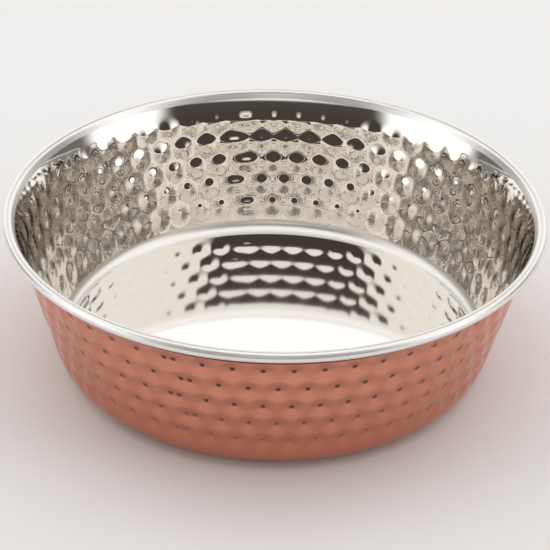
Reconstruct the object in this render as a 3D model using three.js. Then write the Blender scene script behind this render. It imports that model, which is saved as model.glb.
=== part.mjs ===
// A low, wide, hammered bowl of two plies. The liner is steel, and its edge is rolled outwards over the
// edge of the copper shell that it sits in. The same hammer marks are struck through both plies from
// outside, so they are hollows in the copper and bumps in the steel. A rubber ring is bonded into a
// recess under the base. Millimetres, +Z up. The origin is the centre of the plane that the ring, and so
// the bowl, stands on.
import * as THREE from "three";

const degrees = THREE.MathUtils.degToRad;

// Driving dimensions
const rimDiameter = 210; // over the rolled bead
const overallHeight = 64; // from the table to the top of the bead
const floorHeight = 4.8; // of the liner's floor above the table
const wallTilt = degrees(15); // of the wall, outwards from upright
const neckTurn = degrees(12); // how much further out the neck leans where it meets the bead
const neckRadius = 48; // of the neck's inner face, between the wall and the bead
const beadRadius = 2; // of the outside of the rolled bead
const floorCorner = 5; // between the liner's floor and its wall
const linerThickness = 0.6;
const shellThickness = 0.5;
const plyGap = 0.3; // between the two plies
const curlGap = 0.5; // between the curled edge of the liner and the shell
const shellEdge = 0.4; // from the start of the bead down to the edge of the shell
const heelWidth = 2.5; // of the flat that surrounds the recess under the base
const recessRun = 1.2; // how far the side of the recess slopes inwards
const ringStandoff = 1.5; // how far the ring stands below the heel
const ringWidth = 9;
const ringChamfer = 0.6; // on the two lower edges of the ring
const ringClearance = 0.4; // between the ring and the side of the recess
const bondLine = 0.3; // of glue, between the ring and the shell

// Hammer marks, in rows that are staggered by half a mark
const marksPerRow = 58;
const markRows = 5;
const markDepth = 1;
const topBand = 6.9; // left smooth between the bead and the marks
const bottomBand = 2.2; // left smooth between the marks and the floor corner

// Steps of the round stretches
const stepsRound = 2 * marksPerRow; // a mark's middle and its edge
const beadSteps = 8;
const neckSteps = 2;
const cornerSteps = 3;

// Depths of the four faces behind the liner's inner face
const linerInside = 0;
const linerBack = linerInside + linerThickness;
const shellInside = linerBack + plyGap;
const shellOutside = shellInside + shellThickness;

// Round of the heel on the outside, which wraps the liner's corner with the gap between the plies kept
const cornerRise = floorHeight + floorCorner - ringStandoff; // of the liner's corner centre above the heel
const cornerLean = (floorCorner + shellOutside) * Math.sin(wallTilt);
const heelCorner = (cornerRise - cornerLean) / (1 - Math.sin(wallTilt));

// Lengths along the wall, from the start of the bead downwards
const beadCentre = new THREE.Vector2(rimDiameter / 2 - beadRadius, overallHeight - beadRadius);
const neckTilt = wallTilt + neckTurn;
const neckCentre = towardsAxis(neckTilt).multiplyScalar(beadRadius - neckRadius).add(beadCentre);
const neckLength = neckRadius * neckTurn;
const linerFoot = cornerFoot(linerInside, floorHeight, floorCorner);
const shellFoot = cornerFoot(shellOutside, ringStandoff, heelCorner);
const rowPitch = (linerFoot - bottomBand - topBand) / markRows;

// Heights and radii of the base
const panelUnderside = floorHeight - shellOutside;
const recessEdge = cornerCentre(shellOutside, ringStandoff, heelCorner).x - heelWidth;
const ringRadius = recessEdge - recessRun - ringClearance;

/** The direction square to the wall, towards the axis and upwards, where the wall leans by an angle. */
function towardsAxis(tilt) {
  return new THREE.Vector2(-Math.cos(tilt), Math.sin(tilt));
}

/** The point that is a length down the wall and a depth behind its inner face, as [radius, height]. */
function onWall(down, depth) {
  const tilt = wallTilt + neckTurn * Math.max(0, 1 - down / neckLength);
  const belowNeck = Math.max(0, down - neckLength);
  const point = towardsAxis(tilt).multiplyScalar(neckRadius - depth).add(neckCentre);
  return point.add(new THREE.Vector2(-Math.sin(tilt), -Math.cos(tilt)).multiplyScalar(belowNeck));
}

/** The centre of the round that joins a face of the wall to a flat at a height. */
function cornerCentre(depth, height, radius) {
  const top = onWall(neckLength, depth);
  const fall = top.y - (height + radius);
  return new THREE.Vector2(top.x - fall * Math.tan(wallTilt) - radius / Math.cos(wallTilt), height + radius);
}

/** How far down the wall that round begins. */
function cornerFoot(depth, height, radius) {
  const fall = onWall(neckLength, depth).y - (height + radius);
  return neckLength + fall / Math.cos(wallTilt) + radius * Math.tan(wallTilt);
}

/** Points on an arc about a centre, both ends included. */
function arc(centre, radius, from, to, steps) {
  return Array.from({ length: steps + 1 }, (_, step) => {
    const angle = THREE.MathUtils.lerp(from, to, step / steps);
    return new THREE.Vector2(Math.cos(angle), Math.sin(angle)).multiplyScalar(radius).add(centre);
  });
}

/** The round at the bottom of a face of the wall, from the flat outwards and up. */
function corner(depth, centre, radius) {
  return arc(centre, radius, -Math.PI / 2, -wallTilt, cornerSteps).slice(0, -1);
}

/** One face of the wall from its foot up to a length below the bead. The rows of marks are labelled. */
function wallFace(depth, foot, top) {
  const rows = Array.from({ length: markRows }, (_, row) => {
    const point = onWall(topBand + (row + 0.5) * rowPitch, depth);
    return Object.assign(point, { row });
  });
  const neck = Array.from({ length: neckSteps }, (_, step) => {
    return onWall(THREE.MathUtils.lerp(top, topBand, step / neckSteps), depth);
  });
  const marksEnd = topBand + markRows * rowPitch;
  const downwards = [...neck, onWall(topBand, depth), ...rows, onWall(marksEnd, depth), onWall(foot, depth)];
  return downwards.reverse();
}

/** One face of the rolled bead, from the neck round to the curled edge. */
function beadFace(depth) {
  const turn = 2 * Math.PI - Math.acos(1 - (shellOutside + curlGap) / beadRadius);
  const start = Math.PI - neckTilt;
  return arc(beadCentre, beadRadius - depth, start, start - turn, beadSteps).slice(1);
}

/** Turns a section about the axis and strikes the hammer marks into it. */
function hammered(section) {
  const solid = new THREE.LatheGeometry(section, stepsRound);
  const position = solid.attributes.position;
  const inwards = towardsAxis(wallTilt).multiplyScalar(markDepth);
  for (let turn = 0; turn <= stepsRound; turn += 1) {
    section.forEach((point, place) => {
      if (point.row !== undefined && (turn + point.row) % 2 === 0) {
        const angle = (turn / stepsRound) * 2 * Math.PI;
        const index = turn * section.length + place;
        const r = point.x + inwards.x;
        position.setXYZ(index, r * Math.sin(angle), point.y + inwards.y, r * Math.cos(angle));
      }
    });
  }
  splitBetweenMarks(solid, section);
  return solid;
}

/** Turns the diagonals of the wall's facets so that each runs between marks and not from mark to mark. */
function splitBetweenMarks(solid, section) {
  const across = section.length;
  const index = [];
  for (let turn = 0; turn < stepsRound; turn += 1) {
    for (let place = 0; place < across - 1; place += 1) {
      const a = turn * across + place;
      const [b, c, d] = [a + across, a + across + 1, a + 1];
      const marked = (i, step) => section[i].row !== undefined && (step + section[i].row) % 2 === 0;
      const turned = marked(place, turn + 1) || marked(place + 1, turn);
      index.push(...(turned ? [a, b, c, c, d, a] : [a, b, d, c, d, b]));
    }
  }
  solid.setIndex(index);
}

/** Stands a lathe-turned solid, made about Y, up along Z. */
function upright(name, solid, material) {
  solid.rotateX(Math.PI / 2);
  const mesh = new THREE.Mesh(solid, material);
  mesh.name = name;
  return mesh;
}

/** The steel ply: floor, corner, wall, and the edge rolled outwards and down. */
function linerSection() {
  const centre = cornerCentre(linerInside, floorHeight, floorCorner);
  const face = (depth) => [
    ...corner(depth, centre, floorCorner + depth),
    ...wallFace(depth, linerFoot, 0),
    ...beadFace(depth),
  ];
  return [
    new THREE.Vector2(0, floorHeight - linerThickness),
    ...face(linerBack),
    ...face(linerInside).reverse(),
    new THREE.Vector2(0, floorHeight),
  ];
}

/** The copper ply: a raised panel under the liner's floor, the heel, and the wall up into the bead. */
function shellSection() {
  const centre = cornerCentre(shellOutside, ringStandoff, heelCorner);
  const slope = Math.atan2(panelUnderside - ringStandoff, recessRun);
  const face = (depth) => {
    const above = shellOutside - depth;
    const shift = above * Math.tan(slope / 2);
    return [
      new THREE.Vector2(0, panelUnderside + above),
      new THREE.Vector2(recessEdge - recessRun + shift, panelUnderside + above),
      new THREE.Vector2(recessEdge + shift, ringStandoff + above),
      ...corner(depth, centre, heelCorner - above),
      ...wallFace(depth, shellFoot, shellEdge),
    ];
  };
  return [...face(shellOutside), ...face(shellInside).reverse()];
}

/** The rubber ring: square in section, with its two lower edges taken off. */
function ringSection() {
  const top = panelUnderside - bondLine;
  const inside = ringRadius - ringWidth;
  const outline = [
    new THREE.Vector2(ringRadius - ringChamfer, 0),
    new THREE.Vector2(ringRadius, ringChamfer),
    new THREE.Vector2(ringRadius, top),
    new THREE.Vector2(inside, top),
    new THREE.Vector2(inside, ringChamfer),
    new THREE.Vector2(inside + ringChamfer, 0),
  ];
  return [...outline, outline[0].clone()];
}

function mirrorSteel() {
  return new THREE.MeshStandardMaterial({ color: 0xe6e0d6, roughness: 0.05, metalness: 1 });
}

function polishedCopper() {
  return new THREE.MeshStandardMaterial({ color: 0xd98268, roughness: 0.22, metalness: 1 });
}

function blackRubber() {
  return new THREE.MeshStandardMaterial({ color: 0x262626, roughness: 0.85, metalness: 0 });
}

const bowl = new THREE.Group();
bowl.add(upright("steel_liner", hammered(linerSection()), mirrorSteel()));
bowl.add(upright("copper_shell", hammered(shellSection()), polishedCopper()));
bowl.add(upright("nonslip_ring", new THREE.LatheGeometry(ringSection(), marksPerRow), blackRubber()));

export default bowl;
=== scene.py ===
"""A low hammered bowl: a mirror-steel liner rolled over a copper shell, standing on a rubber ring.

Everything is in metres, +Z up, and the origin is the centre of the plane that the bowl stands on.
"""

import logging
import math
from dataclasses import astuple, dataclass, field
from enum import Enum
from typing import Callable, Iterator, Union

import bpy
import numpy as np
from mathutils import Matrix, Vector


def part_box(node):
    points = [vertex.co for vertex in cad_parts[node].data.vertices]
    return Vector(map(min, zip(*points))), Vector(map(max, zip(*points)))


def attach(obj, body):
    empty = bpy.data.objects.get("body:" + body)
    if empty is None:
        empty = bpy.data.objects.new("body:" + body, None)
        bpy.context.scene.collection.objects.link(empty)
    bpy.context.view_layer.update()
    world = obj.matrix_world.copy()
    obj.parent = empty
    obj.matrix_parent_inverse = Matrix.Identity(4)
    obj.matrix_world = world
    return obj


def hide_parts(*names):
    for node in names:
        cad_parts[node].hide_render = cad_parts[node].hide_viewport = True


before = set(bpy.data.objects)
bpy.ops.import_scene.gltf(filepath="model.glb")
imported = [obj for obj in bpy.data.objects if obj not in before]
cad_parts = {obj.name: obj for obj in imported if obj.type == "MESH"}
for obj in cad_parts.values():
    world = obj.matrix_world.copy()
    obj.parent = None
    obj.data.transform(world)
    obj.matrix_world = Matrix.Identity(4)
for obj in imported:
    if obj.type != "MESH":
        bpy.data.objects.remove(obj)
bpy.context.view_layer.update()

log = logging.getLogger("bowl")

MM = 0.001
FULL_TURN = 2 * math.pi
# Name of the mesh attribute that places the painted shade dots on the copper, which stand in for the shade
# each dent reflects.
DOT_SHADE_ATTRIBUTE = "dot_shade"


class Body(Enum):
    """The bodies that pieces ride on."""

    ROOT = "root"


class Slot(Enum):
    """The finishes of the pieces."""

    STEEL = "mirror_steel"
    COPPER = "polished_copper"
    RUBBER = "black_rubber"


class Node(Enum):
    """The CAD nodes that the pieces stand for."""

    LINER = "steel_liner"
    SHELL = "copper_shell"
    RING = "nonslip_ring"


# ------------------------------------------------------------------------------------------ shaders


Number = Union[float, "Value"]


class Value:
    """A number worked out by a shader. Arithmetic on it adds Math nodes."""

    def __init__(self, board: "Board", socket: bpy.types.NodeSocket) -> None:
        """Wraps an output socket of a node on the board."""
        self.board = board
        self.socket = socket

    def _math(self, operation: str, *inputs: Number) -> "Value":
        """Adds a Math node over these inputs."""
        return self.board.node("ShaderNodeMath", {"operation": operation}, dict(enumerate(inputs)))

    def __add__(self, other: Number) -> "Value":
        """self + other."""
        return self._math("ADD", self, other)

    def __radd__(self, other: Number) -> "Value":
        """other + self."""
        return self._math("ADD", other, self)

    def __sub__(self, other: Number) -> "Value":
        """self - other."""
        return self._math("SUBTRACT", self, other)

    def __rsub__(self, other: Number) -> "Value":
        """other - self."""
        return self._math("SUBTRACT", other, self)

    def __mul__(self, other: Number) -> "Value":
        """self times other."""
        return self._math("MULTIPLY", self, other)

    def __rmul__(self, other: Number) -> "Value":
        """other times self."""
        return self._math("MULTIPLY", other, self)

    def __truediv__(self, other: Number) -> "Value":
        """self over other."""
        return self._math("DIVIDE", self, other)

    def __rtruediv__(self, other: Number) -> "Value":
        """other over self."""
        return self._math("DIVIDE", other, self)

    def or_more(self, other: Number) -> "Value":
        """The greater of self and other."""
        return self._math("MAXIMUM", self, other)

    def arc_sine(self) -> "Value":
        """The angle whose sine is this."""
        return self._math("ARCSINE", self)

    def arc_tangent(self, other: Number) -> "Value":
        """The angle of the direction (other, self)."""
        return self._math("ARCTAN2", self, other)

    def ramp(self, low: float, high: float) -> "Value":
        """Smoothly from 0 at low to 1 at high, which may be the smaller of the two."""
        settings = {"interpolation_type": "SMOOTHSTEP", "clamp": True}
        return self.board.node("ShaderNodeMapRange", settings, {0: self, 1: low, 2: high, 3: 0.0, 4: 1.0})

    def band(self, low: float, high: float, edge: float) -> "Value":
        """1 between low and high, fading to 0 over an edge that is centred on each."""
        half = edge / 2
        return self.ramp(low - half, low + half) * self.ramp(high + half, high - half)


class Board:
    """The node tree of one material or world."""

    def __init__(self, tree: bpy.types.NodeTree) -> None:
        """Empties the tree."""
        self.tree = tree
        tree.nodes.clear()

    def node(
        self,
        kind: str,
        settings: dict[str, object],
        inputs: dict[Union[int, str], object],
        output: Union[int, str] = 0,
    ) -> Value:
        """Adds a node.

        Args:
            kind: the node's type.
            settings: its own properties by name.
            inputs: numbers, colours or Values by the name or index of the input socket.
            output: the name or index of the output socket to return.

        Returns:
            The chosen output.
        """
        made = self.tree.nodes.new(kind)
        for name, setting in settings.items():
            setattr(made, name, setting)
        for key, value in inputs.items():
            if isinstance(value, Value):
                self.tree.links.new(value.socket, made.inputs[key])
            else:
                made.inputs[key].default_value = value
        return Value(self, made.outputs[output])

    def mix(self, factor: Number, first: object, second: object) -> Value:
        """A colour that goes from first to second as factor goes from 0 to 1."""
        return self.node("ShaderNodeMix", {"data_type": "RGBA"}, {0: factor, 6: first, 7: second}, 2)

    def finish(self, kind: str, surface: Value) -> None:
        """Adds the output node of this kind and joins the shader to it."""
        end = self.tree.nodes.new(kind)
        self.tree.links.new(surface.socket, end.inputs["Surface"])


Colour = tuple[float, float, float]


def opaque(colour: Colour) -> tuple[float, float, float, float]:
    """The colour with full alpha."""
    return (*colour, 1.0)


@dataclass(frozen=True)
class MirrorSteel:
    """Mirror-polished stainless steel with the faint speckle of a buffing wheel, and a painted shade that
    colours the hammered band darker and warmer.
    """

    polished: Colour = (0.86, 0.845, 0.825)
    # Painted shade: the darker, warmer colour of the hammered band, standing in for the dimmer reflections
    # among the marks.
    struck: Colour = (0.74, 0.70, 0.645)
    shade_band_bottom: float = 7 * MM
    shade_band_top: float = 57 * MM
    edge: float = 4 * MM
    roughness: float = 0.035
    satin: float = 0.36
    corner_bottom: float = 5 * MM
    corner_top: float = 8.5 * MM
    bead_bottom: float = 61 * MM
    satin_edge: float = 0.6 * MM
    speckle_size: float = 0.5 * MM
    speckle_depth: float = 0.0015 * MM

    def material(self) -> bpy.types.Material:
        """Makes the material."""
        made = bpy.data.materials.new("mirror steel")
        made.use_nodes = True
        board = Board(made.node_tree)
        place = board.node("ShaderNodeTexCoord", {}, {}, "Object")
        height = board.node("ShaderNodeSeparateXYZ", {}, {"Vector": place}, "Z")
        # Painted shade over the hammered band, between the two heights, with soft edges.
        hammered = height.band(self.shade_band_bottom, self.shade_band_top, self.edge)
        half = self.satin_edge / 2
        corner = height.band(self.corner_bottom, self.corner_top, self.satin_edge)
        bead = height.ramp(self.bead_bottom - half, self.bead_bottom + half)
        roughness = (corner + bead) * (self.satin - self.roughness) + self.roughness
        noise = board.node(
            "ShaderNodeTexNoise", {}, {"Vector": place, "Scale": 1 / self.speckle_size, "Detail": 2.0}
        )
        normal = board.node(
            "ShaderNodeBump", {}, {"Height": noise, "Distance": self.speckle_depth, "Strength": 1.0}
        )
        surface = board.node(
            "ShaderNodeBsdfPrincipled",
            {},
            {
                "Base Color": board.mix(hammered, opaque(self.polished), opaque(self.struck)),
                "Metallic": 1.0,
                "Roughness": roughness,
                "Normal": normal,
            },
        )
        board.finish("ShaderNodeOutputMaterial", surface)
        return made


@dataclass(frozen=True)
class PolishedCopper:
    """Softly polished copper, a little uneven in its sheen, with painted shade: a darkened line just under
    the bead and darkened dots in the hammer marks.
    """

    colour: Colour = (0.65, 0.265, 0.185)
    # Painted shade: this colour darkens a thin line just under the bead, between the two heights below, and
    # the dots in the marks.
    painted_shade_colour: Colour = (0.10, 0.045, 0.03)
    shade_line_top: float = 57.5 * MM
    shade_line_bottom: float = 57.0 * MM
    # The dots in the marks are painted reflections of shade, a little above the middle of each mark, fading
    # out towards the foot.
    dot_shade_strength: float = 0.95
    dot_shade_edge: float = 0.5
    dot_shade_middle: float = 0.8
    dot_shade_fade_top: float = 40 * MM
    dot_shade_fade_bottom: float = 8 * MM
    roughness: float = 0.1
    roughness_change: float = 0.06
    cloud_size: float = 6 * MM

    def material(self) -> bpy.types.Material:
        """Makes the material."""
        made = bpy.data.materials.new("polished copper")
        made.use_nodes = True
        board = Board(made.node_tree)
        place = board.node("ShaderNodeTexCoord", {}, {}, "Object")
        noise = board.node(
            "ShaderNodeTexNoise", {}, {"Vector": place, "Scale": 1 / self.cloud_size, "Detail": 3.0}
        )
        roughness = noise * self.roughness_change + (self.roughness - self.roughness_change / 2)
        height = board.node("ShaderNodeSeparateXYZ", {}, {"Vector": place}, "Z")
        # Painted shade: a thin darkened line just under the bead, where the rolled edge shades the copper.
        shade_line = height.ramp(self.shade_line_bottom, self.shade_line_top)
        # Painted reflection of shade: a darkened dot in each mark, weaker towards the foot.
        dot_shade = board.node("ShaderNodeAttribute", {"attribute_name": DOT_SHADE_ATTRIBUTE}, {}, "Fac")
        dot_shade_amount = height.ramp(self.dot_shade_fade_bottom, self.dot_shade_fade_top) * self.dot_shade_strength
        painted_darkening = shade_line.or_more(dot_shade.ramp(self.dot_shade_edge, self.dot_shade_middle) * dot_shade_amount)
        surface = board.node(
            "ShaderNodeBsdfPrincipled",
            {},
            {
                "Base Color": board.mix(painted_darkening, opaque(self.colour), opaque(self.painted_shade_colour)),
                "Metallic": 1.0,
                "Roughness": roughness,
            },
        )
        board.finish("ShaderNodeOutputMaterial", surface)
        return made


@dataclass(frozen=True)
class MattRubber:
    """Black moulded rubber."""

    colour: Colour = (0.03, 0.03, 0.03)
    roughness: float = 0.75

    def material(self) -> bpy.types.Material:
        """Makes the material."""
        made = bpy.data.materials.new("black rubber")
        made.use_nodes = True
        board = Board(made.node_tree)
        surface = board.node(
            "ShaderNodeBsdfPrincipled",
            {},
            {"Base Color": opaque(self.colour), "Roughness": self.roughness, "Specular IOR Level": 0.3},
        )
        board.finish("ShaderNodeOutputMaterial", surface)
        return made


# ----------------------------------------------------------------------------------------- surfaces


Relief = Callable[[np.ndarray, np.ndarray], np.ndarray]
Patchwork = tuple[tuple[np.ndarray, ...], np.ndarray, np.ndarray]


@dataclass(frozen=True)
class Profile:
    """A turned outline with what the hammer does to it.

    points: radius and height of each ring, in metres.
    lean: how far the outline leans outwards from upright at each ring.
    down: length along the wall from the bead, or NaN where the hammer doesn't reach.
    share: which face of the sheets each ring is on, from 0 inside the bowl to 1 outside it.
    """

    points: np.ndarray
    lean: np.ndarray
    down: np.ndarray
    share: np.ndarray

    @staticmethod
    def plain(points: np.ndarray) -> "Profile":
        """A stretch that the hammer doesn't reach."""
        nothing = np.full(len(points), np.nan)
        return Profile(points, np.zeros(len(points)), nothing, nothing)

    def reversed(self) -> "Profile":
        """The same outline walked the other way."""
        return Profile(self.points[::-1], self.lean[::-1], self.down[::-1], self.share[::-1])

    def then(self, *others: "Profile") -> "Profile":
        """This outline followed by others."""
        every = (self, *others)
        return Profile(
            np.concatenate([one.points for one in every]),
            np.concatenate([one.lean for one in every]),
            np.concatenate([one.down for one in every]),
            np.concatenate([one.share for one in every]),
        )


@dataclass(frozen=True)
class Turned:
    """A solid turned from a profile, closed on the axis at both ends or back on its own start."""

    name: str
    profile: Profile
    columns: int
    marks: "HammerMarks | None" = None
    closed: bool = False

    def mesh(self) -> bpy.types.Mesh:
        """Turns the profile about the axis, and pushes its hammered rings towards the axis.

        A point's radius and height are the profile's, moved by the relief at its length down the wall
        and its angle, in the direction square to the wall. The first and the last ring close in one
        point each on the axis, unless the outline closes on itself.

        Returns:
            The mesh, with its faces outwards.
        """
        angle = np.arange(self.columns) * FULL_TURN / self.columns
        radius = np.repeat(self.profile.points[:, :1], self.columns, axis=1)
        height = np.repeat(self.profile.points[:, 1:], self.columns, axis=1)
        # Weights of the painted shade dots on the copper, 0 away from the marks.
        dot_shade_weights = np.zeros_like(radius)
        if self.marks is not None:
            for share in np.unique(self.profile.share[~np.isnan(self.profile.share)]):
                struck = self.profile.share == share
                down = self.profile.down[struck][:, None]
                push = self.marks.push(share)(down, angle[None, :])
                radius[struck] -= push * np.cos(self.profile.lean[struck])[:, None]
                height[struck] += push * np.sin(self.profile.lean[struck])[:, None]
                dot_shade_weights[struck] = self.marks.dot_shade_weights(down, angle[None, :])
        grid = np.stack([radius * np.sin(angle), -radius * np.cos(angle), height], axis=-1)
        if self.closed:
            return self._made(grid.reshape(-1, 3), [self._quads(len(grid), True)], dot_shade_weights.ravel())
        inner = grid[1:-1].reshape(-1, 3)
        poles = np.array([[0, 0, height[0, 0]], [0, 0, height[-1, 0]]])
        ring = np.arange(self.columns)
        after = np.roll(ring, -1)
        start = len(inner)
        last = start - self.columns
        first_fan = np.stack([np.full_like(ring, start), ring, after], axis=-1)
        last_fan = np.stack([np.full_like(ring, start + 1), last + after, last + ring], axis=-1)
        faces = [self._quads(len(grid) - 2, False), first_fan, last_fan]
        # The painted shade dot weights, with none at the two poles.
        depth = np.concatenate([dot_shade_weights[1:-1].ravel(), [0, 0]])
        return self._made(np.concatenate([inner, poles]), faces, depth)

    def _quads(self, rings: int, around: bool) -> np.ndarray:
        """Four-sided faces between each ring and the next, and from the last to the first if around."""
        ring = np.arange(rings if around else rings - 1)[:, None]
        column = np.arange(self.columns)[None, :]
        next_ring = (ring + 1) % rings
        next_column = (column + 1) % self.columns
        corners = [
            ring * self.columns + column,
            next_ring * self.columns + column,
            next_ring * self.columns + next_column,
            ring * self.columns + next_column,
        ]
        return np.stack(np.broadcast_arrays(*corners), axis=-1).reshape(-1, 4)

    def _made(self, points: np.ndarray, faces: list[np.ndarray], dot_shade_weights: np.ndarray) -> bpy.types.Mesh:
        """A smooth-shaded mesh of these points and faces, which keeps how strongly each point takes the
        painted shade dots.
        """
        made = bpy.data.meshes.new(self.name)
        corners = np.concatenate([some.ravel() for some in faces]).astype(np.int32)
        counts = np.concatenate([np.full(len(some), some.shape[1]) for some in faces])
        starts = np.concatenate([[0], np.cumsum(counts)[:-1]]).astype(np.int32)
        made.vertices.add(len(points))
        made.vertices.foreach_set("co", points.astype(np.float32).ravel())
        made.loops.add(len(corners))
        made.loops.foreach_set("vertex_index", corners)
        made.polygons.add(len(starts))
        made.polygons.foreach_set("loop_start", starts)
        made.polygons.foreach_set("use_smooth", np.ones(len(starts), dtype=bool))
        made.update(calc_edges=True)
        made.validate()
        made.attributes.new(DOT_SHADE_ATTRIBUTE, "FLOAT", "POINT").data.foreach_set("value", dot_shade_weights.astype(np.float32))
        return made


@dataclass(frozen=True)
class Wall:
    """The leaning wall of the bowl, shared by both plies, with the neck that flares into the bead."""

    rim_radius: float
    top: float
    lean: float = math.radians(15)
    neck_turn: float = math.radians(12)
    neck_radius: float = 48 * MM
    bead_radius: float = 2 * MM

    @property
    def bead_centre(self) -> np.ndarray:
        """Radius and height of the centre of the rolled bead."""
        return np.array([self.rim_radius - self.bead_radius, self.top - self.bead_radius])

    @property
    def neck_lean(self) -> float:
        """How far the neck leans outwards where it meets the bead."""
        return self.lean + self.neck_turn

    @property
    def neck_length(self) -> float:
        """Length of the neck along the wall."""
        return self.neck_radius * self.neck_turn

    @staticmethod
    def inwards(lean: np.ndarray) -> np.ndarray:
        """The direction square to a wall of this lean, towards the axis and upwards."""
        return np.stack([-np.cos(lean), np.sin(lean)], axis=-1)

    def face(self, down: np.ndarray, depth: float, share: float = 0.0) -> Profile:
        """The wall at these lengths below the bead, and this far behind the liner's inner face."""
        lean = self.lean + self.neck_turn * np.maximum(0, 1 - down / self.neck_length)
        below = np.maximum(0, down - self.neck_length)[:, None]
        centre = self.bead_centre - self.inwards(np.array(self.neck_lean)) * (
            self.neck_radius - self.bead_radius
        )
        along = np.stack([-np.sin(lean), -np.cos(lean)], axis=-1)
        points = centre + self.inwards(lean) * (self.neck_radius - depth) + along * below
        return Profile(points, lean, down, np.full_like(down, share))

    def corner_centre(self, depth: float, height: float, radius: float) -> np.ndarray:
        """Centre of the round that joins a face of the wall to a flat at this height."""
        start = self.face(np.array([self.neck_length]), depth).points[0]
        fall = start[1] - (height + radius)
        away = start[0] - fall * math.tan(self.lean) - radius / math.cos(self.lean)
        return np.array([away, height + radius])

    def corner_foot(self, depth: float, height: float, radius: float) -> float:
        """How far down the wall that round begins."""
        start = self.face(np.array([self.neck_length]), depth).points[0]
        fall = start[1] - (height + radius)
        return self.neck_length + fall / math.cos(self.lean) + radius * math.tan(self.lean)

    def corner(self, centre: np.ndarray, radius: float, steps: int) -> Profile:
        """The round at the foot of the wall, from the wall down and in, without its first point."""
        angle = np.linspace(-self.lean, -math.pi / 2, steps + 1)[1:]
        arc = centre + radius * np.stack([np.cos(angle), np.sin(angle)], axis=-1)
        return Profile.plain(arc)


@dataclass(frozen=True)
class MarkShape:
    """The shape of one hammer mark on one face of the sheet: a shallow dome with a steep nib on it."""

    nib_height: float
    nib_spread: float
    dome_height: float
    dome_radius: float
    crease: float

    def towards(self, other: "MarkShape", share: float) -> "MarkShape":
        """The shape that lies this share of the way to another."""
        pairs = zip(astuple(self), astuple(other))
        return MarkShape(*(mine + (theirs - mine) * share for mine, theirs in pairs))


@dataclass(frozen=True)
class HammerMarks:
    """Rows of round marks struck from outside, each row half a mark on from the last."""

    inside: MarkShape = MarkShape(0.36 * MM, 1.45 * MM, 0.3 * MM, 40 * MM, 0.05 * MM)
    outside: MarkShape = MarkShape(0.55 * MM, 1.0 * MM, 0.85 * MM, 15 * MM, 0.06 * MM)
    rows: int = 5
    first: float = 6.9 * MM
    pitch: float = 9.515 * MM
    radius: float = 92.5 * MM
    spacing: float = 0.1098
    start: float = -0.0271
    right_first: int = -3
    right_count: int = 34
    left_count: int = 24
    seam: float = 0.036
    # Place and size of the painted shade dots: how far above each mark's middle, how wide, and how much
    # taller than wide.
    dot_shade_rise: float = 0.7 * MM
    dot_shade_spread: float = 1.0 * MM
    dot_shade_stretch: float = 1.4

    @property
    def end(self) -> float:
        """Length down the wall where the last row ends."""
        return self.first + self.rows * self.pitch

    def columns(self, row: int) -> np.ndarray:
        """Angles of the marks in a row, from the front and towards +X.

        The marks were struck in two runs that don't quite meet, so the last marks of one run nearly
        cover the first of the other on each side.
        """
        shift = 0.5 * self.spacing if row % 2 else 0.0
        count = np.arange(self.right_first, self.right_first + self.right_count)
        right = self.start + shift + self.spacing * count
        left = np.linspace(right[-1] + self.seam, right[0] + FULL_TURN - self.seam, self.left_count)
        return np.concatenate([right, left])

    def offsets(self, down: np.ndarray, angle: np.ndarray) -> Iterator[Patchwork]:
        """The patch of the wall round each mark in turn.

        Args:
            down: lengths down the wall, as a column.
            angle: angles round the axis, as a row.

        Yields:
            The patch's place in the grid, and the lengths round and down from the mark's middle.
        """
        for row in range(self.rows):
            below = down[:, 0] - (self.first + (row + 0.5) * self.pitch)
            near = np.abs(below) < 1.6 * self.pitch
            for column in self.columns(row):
                across = (angle[0] - column + math.pi) % FULL_TURN - math.pi
                close = np.abs(across) < 1.8 * self.spacing
                yield np.ix_(near, close), across[None, close] * self.radius, below[near, None]

    def push(self, share: float) -> Relief:
        """How far a face of the sheet is pushed in, where share is 0 at the inside and 1 outside.

        Each mark is a shallow round dome with a small steep nib in its middle. Where domes meet, the
        sheet follows the higher one, and the crease between them is rounded over.
        """
        shape = self.inside.towards(self.outside, share)

        def relief(down: np.ndarray, angle: np.ndarray) -> np.ndarray:
            """The push towards the axis, square to the wall."""
            nib = np.zeros(np.broadcast(down, angle).shape)
            raised = np.zeros_like(nib)
            for patch, across, below in self.offsets(down, angle):
                square = across**2 + below**2
                nib[patch] += shape.nib_height * np.exp(-square / (2 * shape.nib_spread**2))
                dome = shape.dome_height - square / (2 * shape.dome_radius)
                raised[patch] += np.exp(np.clip(dome / shape.crease, -60, 60))
            return nib + shape.crease * np.log1p(raised)

        return relief

    def dot_shade_weights(self, down: np.ndarray, angle: np.ndarray) -> np.ndarray:
        """Weight of the painted shade dot at each point: 1 at its middle, a little above the middle of a
        mark, falling to 0 round it.
        """
        near = np.zeros(np.broadcast(down, angle).shape)
        for patch, across, below in self.offsets(down, angle):
            tall = (below + self.dot_shade_rise) / self.dot_shade_stretch
            near[patch] += np.exp(-(across**2 + tall**2) / (2 * self.dot_shade_spread**2))
        return near


@dataclass(frozen=True)
class Plies:
    """Thicknesses of the two sheets and the small spaces round them."""

    liner: float = 0.6 * MM
    shell: float = 0.5 * MM
    gap: float = 0.3 * MM
    curl_gap: float = 0.5 * MM

    @property
    def shell_inside(self) -> float:
        """Depth of the shell's inner face behind the liner's inner face."""
        return self.liner + self.gap

    @property
    def shell_outside(self) -> float:
        """Depth of the shell's outer face behind the liner's inner face."""
        return self.shell_inside + self.shell


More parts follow.
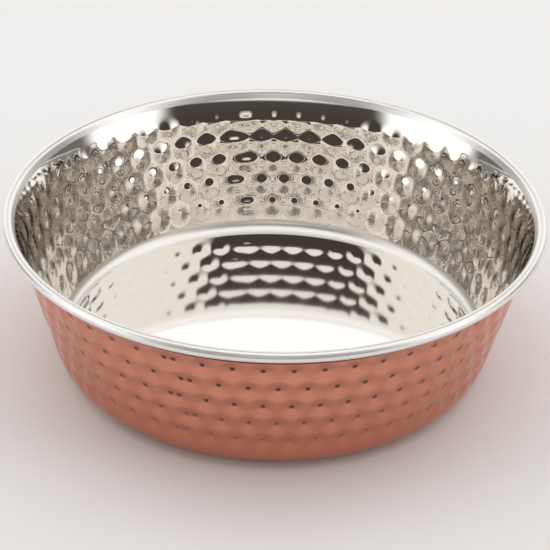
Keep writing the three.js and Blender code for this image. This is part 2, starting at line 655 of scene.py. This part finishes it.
@dataclass
class Piece:
    """A finished piece: how it is named, what it stands for and what it is made of."""

    name: str
    node: Node
    slot: Slot

    def place(self, mesh: bpy.types.Mesh, material: bpy.types.Material) -> bpy.types.Object:
        """Puts the mesh in the scene as this piece, riding on the bowl's one body."""
        mesh.materials.append(material)
        made = bpy.data.objects.new(self.name, mesh)
        bpy.context.scene.collection.objects.link(made)
        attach(made, Body.ROOT.value)
        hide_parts(self.node.value)
        log.info("%s: %d faces", self.name, len(mesh.polygons))
        return made


@dataclass
class Liner:
    """The steel ply: a flat floor, the corner, the hammered wall and the edge rolled over outwards."""

    wall: Wall
    marks: HammerMarks
    plies: Plies
    finish: MirrorSteel = field(default_factory=MirrorSteel)
    floor: float = 4.8 * MM
    corner: float = 5 * MM
    columns: int = 580
    rings_per_row: int = 12
    back_rings_per_row: int = 4

    def _face(self, depth: float, rings_per_row: int) -> Profile:
        """One face of the sheet, from the start of the bead down to the centre of the floor."""
        foot = self.wall.corner_foot(0, self.floor, self.corner)
        neck = np.linspace(0, self.marks.first, 7)[:-1]
        struck = np.linspace(self.marks.first, self.marks.end, self.marks.rows * rings_per_row + 1)
        below = np.linspace(self.marks.end, foot, 6)[1:]
        share = depth / self.plies.shell_outside
        wall = self.wall.face(np.concatenate([neck, struck, below]), depth, share)
        centre = self.wall.corner_centre(0, self.floor, self.corner)
        corner = self.wall.corner(centre, self.corner + depth, 12 if depth == 0 else 6)
        flat_height = self.floor - depth
        away = centre[0] * np.array([0.995, 0.97, 0.9, 0.6, 0.3, 0.05, 0])
        flat = np.stack([away, np.full_like(away, flat_height)], axis=-1)
        return wall.then(corner, Profile.plain(flat))

    def _bead(self, depth: float) -> Profile:
        """One face of the rolled bead, from its curled edge back to the neck."""
        space = self.plies.shell_outside + self.plies.curl_gap
        turn = FULL_TURN - math.acos(1 - space / self.wall.bead_radius)
        start = math.pi - self.wall.neck_lean
        angle = np.linspace(start - turn, start, 25 if depth == 0 else 13)[:-1]
        radius = self.wall.bead_radius - depth
        arc = self.wall.bead_centre + radius * np.stack([np.cos(angle), np.sin(angle)], axis=-1)
        return Profile.plain(arc)

    def build(self) -> bpy.types.Object:
        """Makes and dresses the liner."""
        inner = self._bead(0).then(self._face(0, self.rings_per_row))
        back_face = self._face(self.plies.liner, self.back_rings_per_row)
        back = self._bead(self.plies.liner).then(back_face)
        profile = back.reversed().then(inner)
        solid = Turned("liner_sheet", profile, self.columns, self.marks)
        return Piece("liner_sheet", Node.LINER, Slot.STEEL).place(solid.mesh(), self.finish.material())


@dataclass
class Shell:
    """The copper ply: a raised panel under the floor, the heel and the wall up into the bead."""

    wall: Wall
    marks: HammerMarks
    plies: Plies
    standoff: float
    finish: PolishedCopper = field(default_factory=PolishedCopper)
    floor: float = 4.8 * MM
    liner_corner: float = 5 * MM
    edge: float = 0.4 * MM
    heel_width: float = 2.5 * MM
    recess_run: float = 1.2 * MM
    corner_steps: int = 12
    columns: int = 754
    rings_per_row: int = 12
    inner_rings_per_row: int = 4

    @property
    def heel_corner(self) -> float:
        """Radius of the heel, which wraps the liner's corner with the gap between the plies kept."""
        rise = self.floor + self.liner_corner - self.standoff
        lean = (self.liner_corner + self.plies.shell_outside) * math.sin(self.wall.lean)
        return (rise - lean) / (1 - math.sin(self.wall.lean))

    @property
    def panel(self) -> float:
        """Height of the underside of the raised panel."""
        return self.floor - self.plies.shell_outside

    @property
    def recess_edge(self) -> float:
        """Radius where the heel's flat ends and the recess begins."""
        centre = self.wall.corner_centre(self.plies.shell_outside, self.standoff, self.heel_corner)
        return centre[0] - self.heel_width

    def _face(self, depth: float, rings_per_row: int) -> Profile:
        """One face of the sheet, from its upper edge down to the centre of the panel."""
        radius = self.heel_corner
        outside = self.plies.shell_outside
        foot = self.wall.corner_foot(outside, self.standoff, radius)
        neck = np.linspace(self.edge, self.marks.first, 7)[:-1]
        struck = np.linspace(self.marks.first, self.marks.end, self.marks.rows * rings_per_row + 1)
        below = np.linspace(self.marks.end, max(foot, self.marks.end + 0.2 * MM), 4)[1:]
        share = depth / self.plies.shell_outside
        wall = self.wall.face(np.concatenate([neck, struck, below]), depth, share)
        above = outside - depth
        centre = self.wall.corner_centre(outside, self.standoff, radius)
        corner = self.wall.corner(centre, radius - above, self.corner_steps)
        shift = above * math.tan(math.atan2(self.panel - self.standoff, self.recess_run) / 2)
        base = np.array(
            [
                [self.recess_edge + shift, self.standoff + above],
                [self.recess_edge - self.recess_run + shift, self.panel + above],
                [self.recess_edge / 2, self.panel + above],
                [0, self.panel + above],
            ]
        )
        return wall.then(corner, Profile.plain(base))

    def build(self) -> bpy.types.Object:
        """Makes and dresses the shell."""
        inner = self._face(self.plies.shell_inside, self.inner_rings_per_row)
        outer = self._face(self.plies.shell_outside, self.rings_per_row)
        solid = Turned("shell_sheet", outer.reversed().then(inner), self.columns, self.marks)
        return Piece("shell_sheet", Node.SHELL, Slot.COPPER).place(solid.mesh(), self.finish.material())


@dataclass
class Ring:
    """The rubber ring that is bonded into the recess under the base."""

    outside: float
    top: float
    finish: MattRubber = field(default_factory=MattRubber)
    width: float = 9 * MM
    round: float = 0.6 * MM
    corner_points: int = 8
    columns: int = 232

    def _outline(self) -> Profile:
        """The section: a rectangle with its four corners rounded over."""
        half = np.array([self.width / 2, self.top / 2])
        middle = np.array([self.outside - half[0], half[1]])
        count = 4 * self.corner_points
        angle = (np.arange(count) + 0.5) * FULL_TURN / count
        side = np.stack([np.sign(np.cos(angle)), np.sign(np.sin(angle))], axis=-1)
        arc = self.round * np.stack([np.cos(angle), np.sin(angle)], axis=-1)
        return Profile.plain(middle + side * (half - self.round) + arc)

    def build(self) -> bpy.types.Object:
        """Makes and dresses the ring."""
        solid = Turned("foot_ring", self._outline().reversed(), self.columns, closed=True)
        return Piece("foot_ring", Node.RING, Slot.RUBBER).place(solid.mesh(), self.finish.material())


# -------------------------------------------------------------------------------------------- studio


@dataclass(frozen=True)
class Patch:
    """A soft-edged patch of the surroundings.

    turn: from and to in degrees round the axis, from the front and towards +X, and the width of its edge.
    rise: from and to in degrees above level, and the width of its edge.
    share: how far it covers what lies behind it.
    """

    turn: tuple[float, float, float]
    rise: tuple[float, float, float]
    share: float = 1.0

    def cover(self, turn: Value, rise: Value) -> Value:
        """How far the patch covers the direction of this turn and rise."""
        return turn.band(*self.turn) * rise.band(*self.rise) * self.share


@dataclass(frozen=True)
class Light:
    """A pale room with soft-edged dim, grey and bright patches, each placed by direction."""

    strength: float = 1.02
    pale: Colour = (1.2, 1.19, 1.17)
    bright: Colour = (1.45, 1.45, 1.45)
    dim: Colour = (0.075, 0.062, 0.055)
    grey: Colour = (0.17, 0.16, 0.15)
    panels: tuple[Patch, ...] = (Patch((51, 88, 4), (0, 35, 6)), Patch((-95, -49, 4), (0, 35, 6)))
    curtains: tuple[Patch, ...] = (Patch((92, 130, 10), (-5, 24, 8)), Patch((-132, -97, 10), (-5, 24, 8)))
    flags: tuple[Patch, ...] = (Patch((10, 60, 8), (24, 37, 3), 0.8), Patch((-60, -12, 8), (24, 37, 3), 0.8))
    front_low: tuple[Patch, ...] = (Patch((-50, 54, 14), (-5, 21.5, 4)),)
    front_high: tuple[Patch, ...] = (Patch((-68, 50, 16), (40, 63.5, 3)),)
    behind: tuple[Patch, ...] = (Patch((143, 200, 16), (36.5, 56, 3)), Patch((-200, -143, 16), (36.5, 56, 3)))

    @property
    def layers(self) -> list[tuple[Colour, tuple[Patch, ...]]]:
        """Colours and the patches that have them, each layer in front of the last."""
        return [
            (self.bright, self.panels),
            (self.grey, self.curtains),
            (self.dim, self.flags),
            (self.dim, self.front_low),
            (self.dim, self.front_high),
            (self.dim, self.behind),
        ]

    def build(self) -> None:
        """Makes the world."""
        world = bpy.data.worlds.new("studio light")
        bpy.context.scene.world = world
        world.use_nodes = True
        board = Board(world.node_tree)
        place = board.node("ShaderNodeTexCoord", {}, {}, "Generated")
        x, y, z = (board.node("ShaderNodeSeparateXYZ", {}, {"Vector": place}, axis) for axis in "XYZ")
        to_degrees = 360 / FULL_TURN
        rise = z.arc_sine() * to_degrees
        turn = x.arc_tangent(y * -1.0) * to_degrees
        colour: Union[Value, tuple[float, ...]] = opaque(self.pale)
        for tone, patches in self.layers:
            first, *others = (patch.cover(turn, rise) for patch in patches)
            cover = sum(others, first)
            colour = board.mix(cover, colour, opaque(tone))
        light = board.node("ShaderNodeBackground", {}, {"Color": colour, "Strength": self.strength})
        board.finish("ShaderNodeOutputWorld", light)


@dataclass(frozen=True)
class Table:
    """A plain pale surface under the bowl."""

    size: float = 8.0
    colour: Colour = (0.97, 0.97, 0.97)

    def build(self) -> None:
        """Makes the surface as one square sheet."""
        half = self.size / 2
        corners = [(-half, -half, 0), (half, -half, 0), (half, half, 0), (-half, half, 0)]
        mesh = bpy.data.meshes.new("table")
        mesh.from_pydata(corners, [], [(0, 1, 2, 3)])
        material = bpy.data.materials.new("table")
        material.use_nodes = True
        board = Board(material.node_tree)
        surface = board.node(
            "ShaderNodeBsdfPrincipled", {}, {"Base Color": opaque(self.colour), "Roughness": 0.9}
        )
        board.finish("ShaderNodeOutputMaterial", surface)
        mesh.materials.append(material)
        made = bpy.data.objects.new("table", mesh)
        bpy.context.scene.collection.objects.link(made)


@dataclass(frozen=True)
class Camera:
    """The camera, looking down into the bowl from in front."""

    rise: float = math.radians(31.41)
    distance: float = 698.8 * MM
    aim: tuple[float, float, float] = (0.6 * MM, 0, 31.83 * MM)
    roll: float = 0.0247
    lens: float = 115.26
    sensor: float = 36.0

    def build(self) -> None:
        """Makes the camera and makes it the scene's own."""
        data = bpy.data.cameras.new("camera")
        data.sensor_width = self.sensor
        data.lens = self.lens
        made = bpy.data.objects.new("camera", data)
        bpy.context.scene.collection.objects.link(made)
        back = Vector((0, -math.cos(self.rise), math.sin(self.rise)))
        level = Vector((1, 0, 0))
        up = back.cross(level)
        right = level * math.cos(self.roll) + up * math.sin(self.roll)
        top = up * math.cos(self.roll) - level * math.sin(self.roll)
        place = Matrix((right, top, back)).transposed().to_4x4()
        place.translation = Vector(self.aim) + back * self.distance
        made.matrix_world = place
        bpy.context.scene.camera = made


def main() -> None:
    """Builds the bowl from the inside out, and then the studio."""
    logging.basicConfig(level=logging.INFO, format="%(name)s: %(message)s")
    rim_low, rim_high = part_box(Node.LINER.value)
    shell_low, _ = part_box(Node.SHELL.value)
    ring_low, ring_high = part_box(Node.RING.value)
    wall = Wall(rim_radius=(rim_high.x - rim_low.x) / 2, top=rim_high.z)
    marks = HammerMarks()
    plies = Plies()
    Liner(wall, marks, plies).build()
    Shell(wall, marks, plies, standoff=shell_low.z).build()
    Ring(outside=(ring_high.x - ring_low.x) / 2, top=ring_high.z).build()
    Table().build()
    Light().build()
    Camera().build()
    bpy.context.scene.view_settings.view_transform = "Standard"


if __name__ == "__main__":
    main()
